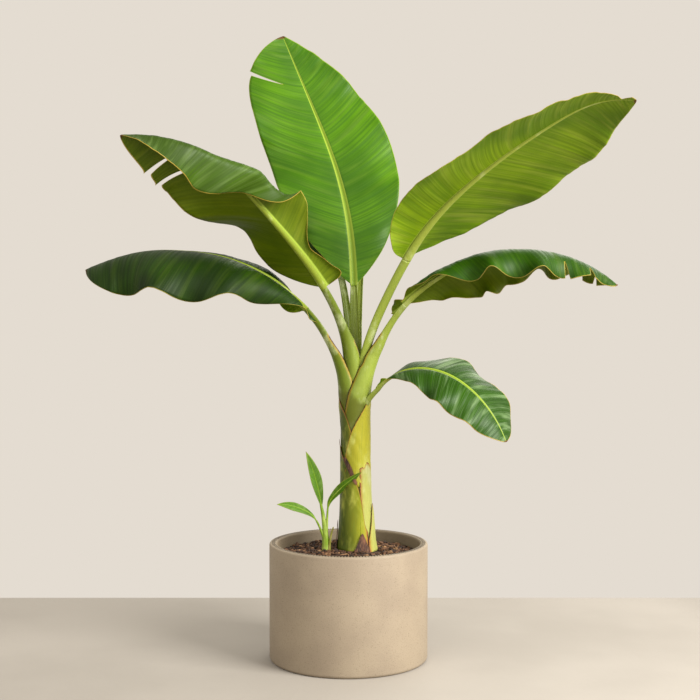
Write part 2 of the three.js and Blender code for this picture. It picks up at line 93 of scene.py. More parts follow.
class Finish:
    """One material and the nodes in it."""

    def __init__(self, name):
        self.material = bpy.data.materials.new(name)
        self.material.use_nodes = True
        self.tree = self.material.node_tree
        self.tree.nodes.clear()

    def node(self, kind, settings=None, sockets=None, out=0):
        made = self.tree.nodes.new("ShaderNode" + kind)
        for key, value in (settings or {}).items():
            setattr(made, key, value)
        for key, value in (sockets or {}).items():
            if isinstance(value, Wire):
                self.tree.links.new(value.socket, made.inputs[key])
            else:
                made.inputs[key].default_value = value
        return Wire(self, made.outputs[out]) if made.outputs else None

    def mix(self, factor, first, second):
        sockets = {0: factor, 6: first, 7: second}
        return self.node("Mix", {"data_type": "RGBA"}, sockets, out=2)

    def place(self, stretch=(1, 1, 1)):
        """Where a point is on the piece, in metres, with the pattern squeezed by stretch."""
        spot = self.node("TexCoord", out="Object")
        return self.node("Mapping", {}, {"Vector": spot, "Scale": stretch})

    def grain(self, where, scale, detail=2.0, rough=0.5):
        sockets = {"Vector": where, "Scale": scale, "Detail": detail, "Roughness": rough}
        return self.node("TexNoise", {}, sockets)

    def attribute(self, name):
        return self.node("Attribute", {"attribute_name": name}, out="Fac")

    def surface(self, height, lift, strength=1.0, **sockets):
        """Close the material with its shader. height is a bump, and lift how deep it is."""
        values = {key.replace("_", " "): value for key, value in sockets.items()}
        bump = {"Height": height, "Distance": lift, "Strength": strength}
        values["Normal"] = self.node("Bump", {}, bump)
        shader = self.node("BsdfPrincipled", {}, values)
        self.node("OutputMaterial", {}, {"Surface": shader})
        return self.material


FLOOR_BACK = 0.66
FLOOR_REACH = 4
deselect()
bpy.ops.mesh.primitive_plane_add(size=2, location=(0, FLOOR_BACK - FLOOR_REACH, 0))
floor = bpy.context.object
floor.name = "floor"
floor.scale = (2 * FLOOR_REACH, FLOOR_REACH, 1)
bpy.ops.object.transform_apply(location=True, scale=True)
plaster = Finish("floor_plaster")
cloudy = plaster.grain(plaster.place(), 1.3, 4)
specks = plaster.grain(plaster.place(), 60, 3)
warm = plaster.mix(cloudy.ramp(0.35, 0.65), paint("9c968d"), paint("a6a097"))
floor.data.materials.append(plaster.surface(specks, 0.0004, Base_Color=warm, Roughness=0.75))


def window(name, place, aim, width, height, watts, tint):
    """A soft rectangular light that faces a point."""
    lamp = bpy.data.lights.new(name, "AREA")
    lamp.shape = "RECTANGLE"
    lamp.size, lamp.size_y = width, height
    lamp.energy = watts
    lamp.color = tint
    shade = bpy.data.objects.new(name, lamp)
    shade.location = place
    shade.rotation_euler = (Vector(aim) - Vector(place)).to_track_quat("-Z", "Y").to_euler()
    bpy.context.scene.collection.objects.link(shade)


window("window_right", (3.0, -2.2, 2.4), (0, 0, 0.8), 2.2, 2.2, 330, (1.0, 0.97, 0.93))
window("window_front", (-1.2, -3.6, 2.6), (0, 0, 0.8), 2.5, 2.0, 45, (1.0, 0.98, 0.95))
window("window_back", (1.2, 2.6, 2.6), (0, 0, 1.0), 2.5, 2.0, 45, (1.0, 0.97, 0.9))
air = bpy.data.worlds.new("room_air")
air.use_nodes = True
air.node_tree.nodes["Background"].inputs["Color"].default_value = paint("e4dcd1")
air.node_tree.nodes["Background"].inputs["Strength"].default_value = 1.0
bpy.context.scene.world = air
bpy.context.scene.view_settings.view_transform = "Standard"

lens = bpy.data.cameras.new("camera")
lens.lens = 70
lens.sensor_width = 36
camera = bpy.data.objects.new("camera", lens)
camera.location = (0.0037, -3.4167, 0.94055)
camera.rotation_euler = (math.radians(90 - 2.674), 0, 0)
bpy.context.scene.collection.objects.link(camera)
bpy.context.scene.camera = camera

# ---- pot ----
# A round planter of matt stoneware with straight walls, a rounded foot and a soft rim. It is
# turned in one piece and left unglazed, so its skin is finely pored.

POT_RADIUS = 0.2
POT_HEIGHT = 0.295
POT_WALL = 0.02
POT_FLOOR = 0.025
RIM_INSIDE = POT_RADIUS - POT_WALL - 0.01


def settle(piece, name, skin=None):
    """Name a finished piece, give it its skin unless it has its own, and hang it in the frame in
    place of the CAD node of its name, where there is one."""
    piece.name = piece.data.name = name
    if skin:
        piece.data.materials.clear()
        piece.data.materials.append(skin)
    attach(piece, "root")
    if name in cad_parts:
        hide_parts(name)


def pick(piece, faces=None, edges=None):
    """Select the faces or edges of a piece in edit mode that pass a test on their centre."""
    bpy.ops.mesh.select_all(action="DESELECT")
    shape = bmesh.from_edit_mesh(piece.data)
    for face in shape.faces if faces else []:
        if faces(face.calc_center_median(), face.normal):
            face.select_set(True)
    for edge in shape.edges if edges else []:
        if edges(*[vertex.co for vertex in edge.verts]):
            edge.select_set(True)
    shape.select_flush_mode()
    bmesh.update_edit_mesh(piece.data)


deselect()
bpy.ops.mesh.primitive_cylinder_add(
    vertices=160, radius=POT_RADIUS, depth=POT_HEIGHT, location=(0, 0, POT_HEIGHT / 2)
)
pot = bpy.context.object
bpy.ops.object.transform_apply(location=True)
bpy.ops.object.mode_set(mode="EDIT")
bpy.ops.mesh.select_mode(type="FACE")
pick(pot, faces=lambda centre, normal: normal.z > 0.9)
bpy.ops.mesh.inset(thickness=POT_WALL)
bpy.ops.mesh.extrude_region_move(TRANSFORM_OT_translate={"value": (0, 0, POT_FLOOR - POT_HEIGHT)})
bpy.ops.mesh.select_mode(type="EDGE")
pick(
    pot,
    edges=lambda a, b: min(a.z, b.z) > POT_HEIGHT - 1e-4 and min(a.xy.length, b.xy.length) > RIM_INSIDE,
)
bpy.ops.mesh.bevel(offset=0.0055, segments=5, affect="EDGES")
pick(pot, edges=lambda a, b: max(a.z, b.z) < 1e-4 and abs(a.xy.length - POT_RADIUS) < 1e-3)
bpy.ops.mesh.bevel(offset=0.009, segments=6, affect="EDGES")
bpy.ops.object.mode_set(mode="OBJECT")
bpy.ops.object.shade_smooth_by_angle(angle=math.radians(40))

stoneware = Finish("stoneware")
where = stoneware.place()
clouds = stoneware.grain(where, 9, 4)
pores = stoneware.grain(where, 420, 2, 0.6)
sand = stoneware.grain(where, 900, 1)
clay = stoneware.mix(clouds.ramp(0.3, 0.7), paint("8d7f6c"), paint("988a75"))
clay = stoneware.mix(pores.ramp(0.42, 0.3) * 0.55, clay, paint("665844"))
clay = stoneware.mix(sand.ramp(0.6, 0.75) * 0.35, clay, paint("b3a48c"))
# Painted shade: inside the rim the pot is painted darker, standing in for the shade within its wall.
across = stoneware.node("VectorMath", {"operation": "LENGTH"}, {0: stoneware.place((1, 1, 0))}, out=1)
clay = stoneware.mix(across.ramp(0.188, 0.183) * 0.55, clay, paint("5e5036"))
matt = 0.62 + 0.2 * pores.ramp(0.5, 0.3)
relief = pores + 0.4 * sand
glaze_free = stoneware.surface(relief, 0.0006, 0.55, Base_Color=clay, Roughness=matt)
settle(pot, "pot", glaze_free)

# ---- soil ----
# Coarse bark and peat that fills the pot to a little below its rim, highest round the stem.
# The bed is one lumpy body, and the crumbs on it are a few split shapes laid many times.

SOIL_RADIUS = POT_RADIUS - POT_WALL - 0.0004
SOIL_FOOT = POT_FLOOR + 0.0005
BED_TOP = 0.277
BED_FALL = 0.013
BED_FLAT = 0.05
CRUMBS = 1900
CRUMB_REACH = SOIL_RADIUS - 0.006
CRUMB_SIZES = (0.002, 0.0026, 0.0034, 0.0044, 0.006, 0.0075)
STEM_AT = 0.02
STEM_CLEAR = 0.046
dice = random.Random(11)


def soil_top(x, y):
    """The height of the bed: it falls away from the stem and is lumpy all over."""
    fall = min(max((math.hypot(x, y) - BED_FLAT) / (SOIL_RADIUS - BED_FLAT), 0), 1)
    lumps = noise.noise(Vector((x * 22, y * 22, 0))) * 0.005
    fine_lumps = noise.noise(Vector((x * 90, y * 90, 3))) * 0.002
    return BED_TOP - BED_FALL * fall**1.5 + lumps + fine_lumps


def join(piece, others):
    """Make one piece of a piece and what lies or grows on it."""
    deselect()
    for part in (piece, *others):
        part.select_set(True)
    bpy.context.view_layer.objects.active = piece
    bpy.ops.object.join()


deselect()
bpy.ops.mesh.primitive_circle_add(vertices=64, radius=SOIL_RADIUS, fill_type="TRIFAN")
bed = bpy.context.object
bpy.ops.object.mode_set(mode="EDIT")
bpy.ops.mesh.select_all(action="SELECT")
bpy.ops.mesh.subdivide(number_cuts=13)
bpy.ops.mesh.extrude_region_move(TRANSFORM_OT_translate={"value": (0, 0, 1)})
bpy.ops.object.mode_set(mode="OBJECT")
for vertex in bed.data.vertices:
    x, y, z = vertex.co
    vertex.co.z = soil_top(x, y) if z > 0.5 else SOIL_FOOT
bpy.ops.object.mode_set(mode="EDIT")
bpy.ops.mesh.select_all(action="SELECT")
bpy.ops.mesh.normals_make_consistent(inside=False)
bpy.ops.object.mode_set(mode="OBJECT")
bpy.ops.object.shade_smooth()

crumb_shapes = []
for size in ((1, 0.75, 0.55), (1.5, 0.6, 0.35), (1.1, 0.9, 0.3), (2.2, 0.4, 0.3)):
    deselect()
    bpy.ops.mesh.primitive_ico_sphere_add(subdivisions=1, radius=1)
    crumb = bpy.context.object
    bpy.ops.object.mode_set(mode="EDIT")
    bpy.ops.transform.resize(value=size)
    bpy.ops.mesh.bevel(offset=0.12, segments=1, affect="EDGES")
    bpy.ops.object.mode_set(mode="OBJECT")
    rough = [v.co * (1 + 0.22 * dice.uniform(-1, 1)) for v in crumb.data.vertices]
    crumb_shapes.append((rough, [tuple(p.vertices) for p in crumb.data.polygons]))
    bpy.data.objects.remove(crumb)

points, faces, tones = [], [], []
for _ in range(CRUMBS):
    radius = CRUMB_REACH * math.sqrt(dice.random())
    turn = dice.uniform(0, 2 * math.pi)
    x, y = radius * math.cos(turn), radius * math.sin(turn)
    if math.hypot(x - STEM_AT, y) < STEM_CLEAR:
        continue
    corners, sides = dice.choice(crumb_shapes)
    grown = dice.choice(CRUMB_SIZES)
    spin = Vector((dice.gauss(0, 1), dice.gauss(0, 1), dice.gauss(0, 2))).normalized()
    twist = spin.to_track_quat("Z", "Y")
    base = Vector((x, y, soil_top(x, y) + grown * dice.uniform(0.0, 0.5)))
    count = len(points)
    tone = dice.random()
    for corner in corners:
        spot = base + twist @ (corner * grown)
        span = math.hypot(spot.x, spot.y)
        if span > SOIL_RADIUS:
            spot.xy *= SOIL_RADIUS / span
        points.append(spot)
        tones.append(tone)
    faces.extend(tuple(count + i for i in side) for side in sides)
crumbs_mesh = bpy.data.meshes.new("crumbs")
crumbs_mesh.from_pydata(points, [], faces)
crumbs = bpy.data.objects.new("crumbs", crumbs_mesh)
bpy.context.scene.collection.objects.link(crumbs)
for mesh, values in ((bed.data, [0.3] * len(bed.data.vertices)), (crumbs_mesh, tones)):
    mesh.attributes.new("tone", "FLOAT", "POINT").data.foreach_set("value", values)
join(bed, [crumbs])

bark = Finish("bark_mix")
where = bark.place()
fibres = bark.grain(where, 260, 4, 0.7)
tone = bark.attribute("tone")
earth = bark.mix(tone.ramp(0.1, 0.9), paint("2e2018"), paint("6f4d33"))
earth = bark.mix(tone.ramp(0.86, 0.98), earth, paint("94714e"))
earth = bark.mix(fibres.ramp(0.55, 0.35) * 0.7, earth, paint("1e1310"))
settle(bed, "soil", bark.surface(fibres, 0.0015, 0.8, Base_Color=earth, Roughness=0.92))

# ---- pseudostem ----
# The trunk of a banana plant is a column of tightly rolled leaf sheaths. This is the inner
# column, which shows between the old sheaths: it flares at its foot and ends at the fork.

MM = 0.001
STEM_FOOT = 276.3
STEM_TOP = 730
STEM_RADIUS = [(276, 46), (300, 42), (340, 39), (400, 36), (500, 34), (600, 34.5), (660, 34),
               (700, 26), (730, 14)]


def ease(stations, x):
    """A smooth value at every x through (position, value) stations."""
    px = np.array([s[0] for s in stations], float)
    py = np.array([s[1] for s in stations], float)
    x = np.clip(np.asarray(x, float), px[0], px[-1])
    if len(px) == 1:
        return np.full(x.shape, py[0])
    step = np.diff(py) / np.diff(px)
    slope = np.empty(len(px))
    slope[0], slope[-1] = step[0], step[-1]
    slope[1:-1] = (py[2:] - py[:-2]) / (px[2:] - px[:-2])
    i = np.clip(np.searchsorted(px, x, side="right") - 1, 0, len(px) - 2)
    h = px[i + 1] - px[i]
    q = (x - px[i]) / h
    start = (2 * q**3 - 3 * q**2 + 1) * py[i] + (q**3 - 2 * q**2 + q) * h * slope[i]
    end = (3 * q**2 - 2 * q**3) * py[i + 1] + (q**3 - q**2) * h * slope[i + 1]
    return start + end


def stem_centre(z):
    """The middle of the column at a height: it leans a little to the left as it rises."""
    q = np.clip((np.asarray(z, float) - STEM_FOOT) / (STEM_TOP - STEM_FOOT), 0, 1)
    return np.stack([20 - 4 * q, 0 * q, np.asarray(z, float)], axis=-1)


def loft(name, rings, edge=None):
    """A closed skin over rings of points in millimetres, with the distance to its free edge
    kept on each point. Its UV runs along the piece and round it, in metres."""
    rows, around = rings.shape[:2]
    points = list(map(tuple, (rings * MM).reshape(-1, 3)))
    faces = [
        (r * around + k, r * around + (k + 1) % around,
         (r + 1) * around + (k + 1) % around, (r + 1) * around + k)
        for r in range(rows - 1)
        for k in range(around)
    ]
    for row, flip in ((0, True), (rows - 1, False)):
        points.append(tuple(rings[row].mean(axis=0) * MM))
        for k in range(around):
            side = (row * around + k, row * around + (k + 1) % around, len(points) - 1)
            faces.append(side[::-1] if flip else side)
    mesh = bpy.data.meshes.new(name)
    mesh.from_pydata(points, [], faces)
    run = np.linalg.norm(np.diff(rings.mean(axis=1), axis=0), axis=1)
    along = np.concatenate([[0], np.cumsum(run)]) * MM
    mesh.uv_layers.new(name="UVMap")
    uv = []
    for polygon in mesh.polygons:
        cells = [divmod(v, around) for v in polygon.vertices]
        wraps = max(k for _, k in cells) == around - 1 and min(k for _, k in cells) == 0
        for r, k in cells:
            if r >= rows:
                r, k = (0 if polygon.vertices[0] < around else rows - 1), 0
            uv.extend((along[r], (k + (around if wraps and k == 0 else 0)) / around))
    mesh.uv_layers["UVMap"].data.foreach_set("uv", uv)
    far = np.full(len(points), 50.0)
    if edge is not None:
        far[: rows * around] = edge.reshape(-1)
    mesh.attributes.new("edge", "FLOAT", "POINT").data.foreach_set("value", far)
    made = bpy.data.objects.new(name, mesh)
    bpy.context.scene.collection.objects.link(made)
    deselect()
    made.select_set(True)
    bpy.context.view_layer.objects.active = made
    bpy.ops.object.mode_set(mode="EDIT")
    bpy.ops.mesh.select_all(action="SELECT")
    bpy.ops.mesh.normals_make_consistent(inside=False)
    bpy.ops.object.mode_set(mode="OBJECT")
    bpy.ops.object.shade_smooth()
    return made


def stem_skin(name, shaded, lit, pale, edge_width=1.3, speckle=0.5, rust=0.0, bare_and_shade=0.0):
    """The waxy skin of a sheath: long fine streaks, pale clouds of wax, a few brown flecks and
    a thin dry edge that turns nearly black at its rim, with painted shade on its left side and
    painted light on its right. rust browns that edge, and the last argument is how strongly the
    skin turns dark olive low down, below a ragged line that rises on the left: partly where the
    wax bloom ends, partly painted shade."""
    skin = Finish(name)
    streaks = skin.grain(skin.place((1, 1, 0.06)), 420, 3)
    broad = skin.grain(skin.place((1, 1, 0.25)), 38, 2)
    wax = skin.grain(skin.place((1, 1, 0.5)), 24, 4, 0.6)
    flecks = skin.grain(skin.place((1, 1, 0.6)), 230, 1)
    spot = skin.node("TexCoord", out="Object")
    # Painted light and shade: the left of each piece takes the shaded colour and the right the lit
    # colour, as if lit from the right.
    side = skin.node("SeparateXYZ", {}, {0: spot}) - 0.017
    colour = skin.mix((side * 14 + 0.5 + 0.5 * (broad - 0.5)).ramp(0, 1), paint(shaded), paint(lit))
    colour = skin.mix(wax.ramp(0.5, 0.72) * 0.7, colour, paint(pale))
    colour = skin.mix(streaks.ramp(0.4, 0.75) * 0.25, colour, paint("5f7a1c"))
    colour = skin.mix(flecks.ramp(0.74, 0.8) * wax.ramp(0.45, 0.6) * speckle, colour, paint("6d5a1e"))
    # Painted shade, and partly the end of the wax bloom: below a ragged line near 0.66 m, higher on the
    # left, the skin is painted dark olive.
    height = skin.node("SeparateXYZ", {}, {0: spot}, out=2) + 0.09 * (wax - 0.5) + 0.5 * side
    colour = skin.mix(height.ramp(0.672, 0.652) * bare_and_shade, colour, paint("545a0a"))
    near = skin.attribute("edge") + 3.4 * (flecks - 0.5) + 5 * rust * (wax - 0.5)
    colour = skin.mix(near.ramp(edge_width * 4 + 6 * rust, edge_width) * 0.75, colour, paint("a08222"))
    colour = skin.mix(near.ramp(edge_width * 2 + 3 * rust, edge_width) * rust, colour, paint("8a4a1e"))
    colour = skin.mix(near.ramp(edge_width * 1.1, edge_width * 0.5), colour, paint("35190f"))
    return skin.surface(
        streaks + 0.6 * broad,
        0.0007,
        0.35,
        Base_Color=colour,
        Roughness=0.42 + 0.2 * near.ramp(edge_width * 2, 0.5) + 0.1 * wax,
        Specular_IOR_Level=0.35,
    )


heights = np.linspace(STEM_FOOT, STEM_TOP + 8, 90)
turns = np.radians(np.arange(0, 360, 4))
radii = ease(STEM_RADIUS, heights)[:, None] * (1 + 0.012 * np.sin(3 * turns + heights[:, None] / 90))
rings = stem_centre(heights)[:, None, :].repeat(len(turns), axis=1)
rings[..., 0] += radii * np.cos(turns)
rings[..., 1] += radii * np.sin(turns)
stem_wax = stem_skin("stem_skin", "66760e", "97a22a", "b3be62")
settle(loft("pseudostem", rings), "pseudostem", stem_wax)

# ---- old sheaths ----
# The bases of leaves that were cut or have died, still wrapped round the column. Each is a
# thin shell with its own torn or slanting edge. Dead ones are brown, papery and lift off.


SHELL_RADIUS = 38
SHELL_WALL = 1.6
FLARE_DEPTH = 28


def wander(x, seed, step):
    """A smooth random wave at every x, between about -1 and 1."""
    flat = np.asarray(x, float).reshape(-1)
    values = [noise.noise(Vector((value / step, seed * 7.3, 0.5))) * 1.6 for value in flat]
    return np.array(values).reshape(np.shape(x))


def sheath(name, top, lift, flare, torn, seed, bottom=((0, STEM_FOOT),)):
    """A shell round the column. top and bottom are heights by bearing, lift is its distance off the
    column by height, flare how far its upper edge stands off and torn how ragged that edge is."""
    start, end = top[0][0], top[-1][0]
    bearings = np.linspace(start, end, max(8, int((end - start) / 2.5)))
    ragged = wander(bearings, seed, 5) + 0.6 * wander(bearings, seed + 9, 1.7)
    high = ease(top, bearings) + torn * ragged
    low = ease(bottom, bearings)
    q = np.linspace(0, 1, 56) ** 0.8
    z = low[:, None] + (high - low)[:, None] * q
    side = np.minimum(np.radians(bearings - start), np.radians(end - bearings))[:, None] * SHELL_RADIUS
    edge = np.minimum(side, high[:, None] - z)
    z = np.maximum(z, STEM_FOOT)
    rest = ease(STEM_RADIUS, z) + ease(lift, z) + flare * np.clip(1 - edge / FLARE_DEPTH, 0, 1) ** 2
    rest = rest + 0.5 * wander(z + bearings[:, None], seed + 3, 17)
    thick = np.clip(0.5 + edge * 0.12, 0.5, SHELL_WALL)
    centre = stem_centre(z)
    angle = np.radians(bearings)[:, None]
    walls = []
    for radius in (rest + thick, rest):
        wall_points = centre.copy()
        wall_points[..., 0] += radius * np.cos(angle)
        wall_points[..., 1] += radius * np.sin(angle)
        walls.append(wall_points)
    rings = np.concatenate([walls[0], walls[1][:, ::-1]], axis=1)
    return loft(name, rings, np.concatenate([edge, edge[:, ::-1]], axis=1))


fresh = stem_skin("cut_sheath_skin", "7c7a0e", "b2ae2a", "c4c66c", 1.6, 0.6, 0.5)
olive = stem_skin("lower_sheath_skin", "404c02", "989a14", "aeb04a", 1.8, 0.9, 0.9)
pale = stem_skin("pale_sheath_skin", "878c30", "a8aa58", "bcbe8c", 1.6, 0.3, 0.9)
papery = Finish("dry_sheath_skin")
ridges = papery.grain(papery.place((1, 1, 0.08)), 500, 3)
blots = papery.grain(papery.place((1, 1, 0.4)), 70, 3)
husk = papery.mix(blots.ramp(0.35, 0.65), paint("2e1a14"), paint("6f4630"))
husk = papery.mix(ridges.ramp(0.5, 0.75) * 0.6, husk, paint("97704e"))
dry = papery.surface(ridges, 0.0012, 0.8, Base_Color=husk, Roughness=0.8)

SHEATHS = [
    ("sheath_cut_right", fresh, dict(
        lift=[(0, 2.2)], flare=3.0, torn=0.8, seed=1, bottom=[(0, 440)],
        top=[(-133, 513), (-108, 572), (-88, 602), (-62, 632), (-40, 652), (0, 655), (70, 560)])),
    ("sheath_dry_edge", olive, dict(
        lift=[(0, 3.6)], flare=2.2, torn=1.2, seed=2,
        top=[(-230, 500), (-180, 556), (-166, 548), (-150, 525), (-128, 500), (-105, 466),
             (-88, 452), (-72, 405), (-60, 345), (-50, 325)])),
    ("sheath_pale_right", pale, dict(
        lift=[(0, 2.4)], flare=1.0, torn=3.0, seed=3,
        top=[(-76, 486), (-60, 489), (-39, 500), (-20, 490), (0, 470), (85, 430)])),
    ("sheath_foot_right", pale, dict(
        lift=[(0, 6.2)], flare=1.5, torn=2.0, seed=4,
        top=[(-53, 300), (-35, 350), (-20, 397), (0, 340), (40, 290)])),
    ("sheath_foot_dry", dry, dict(
        lift=[(0, 6.8)], flare=2.5, torn=2.0, seed=5,
        top=[(-96, 282), (-86, 300), (-72, 324), (-64, 312), (-54, 286)])),
    ("sheath_foot_left", dry, dict(
        lift=[(0, 6.0)], flare=2.5, torn=2.5, seed=6,
        top=[(-205, 290), (-188, 320), (-178, 352), (-172, 320), (-160, 286)])),
    ("sheath_crease_left", olive, dict(
        lift=[(560, 1.3), (605, 2.6), (640, 5.4)], flare=1.4, torn=0.8, seed=7, bottom=[(0, 455)],
        top=[(-230, 650), (-185, 676), (-165, 662), (-131, 627), (-107, 581), (-100, 566)])),
    ("sheath_dry_fold", dry, dict(
        lift=[(0, 6.4)], flare=1.6, torn=1.0, seed=8,
        top=[(-136, 512), (-128, 515), (-118, 506), (-105, 490), (-94, 466), (-86, 452)],
        bottom=[(-136, 508), (-128, 496), (-118, 482), (-105, 462), (-94, 449), (-86, 446)])),
]
for name, skin, shape in SHEATHS:
    settle(sheath(name, **shape), name, skin)

# ---- leaves ----
# Each leaf grows from a sheath that clasps the stem, narrows into a channelled stalk and ends
# in a broad blade whose midrib is that stalk's last taper. Fine veins run from the midrib to
# the margin, and the wind splits the blade along them. Lengths in millimetres, angles in degrees.

STEP = 5.0
VEIN_LEAN = 0.1


def half(width, **shape):
    """One half of a blade. width is its breadth from the midrib, root and tip how blunt its ends
    are, and trim, fold, curl, crest and hinge go by the share of its length: trim scales the
    breadth, fold is its slope at the midrib, curl its bend out to the margin, and hinge a sharp
    bend that lies at crest. wave is the swing, count and start of its waves, lean how far its
    veins slant, and tears the place, depth and opening of each split."""
    return dict(dict(tip=(2, 0.62), tears=[]), width=width, **shape)


def lobe(base, end, width, fold, curl, wave, other=3):
    """A small ear of blade on the left side of a stalk, with next to nothing on its other side."""
    ear = half(width, root=(1.5, 0.8), tip=(1.5, 0.8), fold=[(0, fold)], curl=[(0, curl)], wave=wave)
    sliver = half(other, root=(1, 1), tip=(1, 1), fold=[(0, 0)], curl=[(0, 0)], wave=(0, 1, 0))
    return dict(base=base, end=end, left=ear, right=sliver)


def grow(foot, base, end, **shape):
    """A leaf from its foot on the stem. The blade runs from base to end along the midrib. bearing,
    rise and roll steer the midrib by its length, and rib is its radius by the share of the blade.
    clasp gives the stalk's radius and how far it reaches round on its left and right, shift moves
    it off the midrib's line, seat holds it at a centre x, y and radius low down, dry is where its
    brown edge fades, and ears are small lobes of blade on the stalk."""
    return dict(dict(roll=[(0, 0)], widest=0.45), foot=foot, base=base, end=end, **shape)


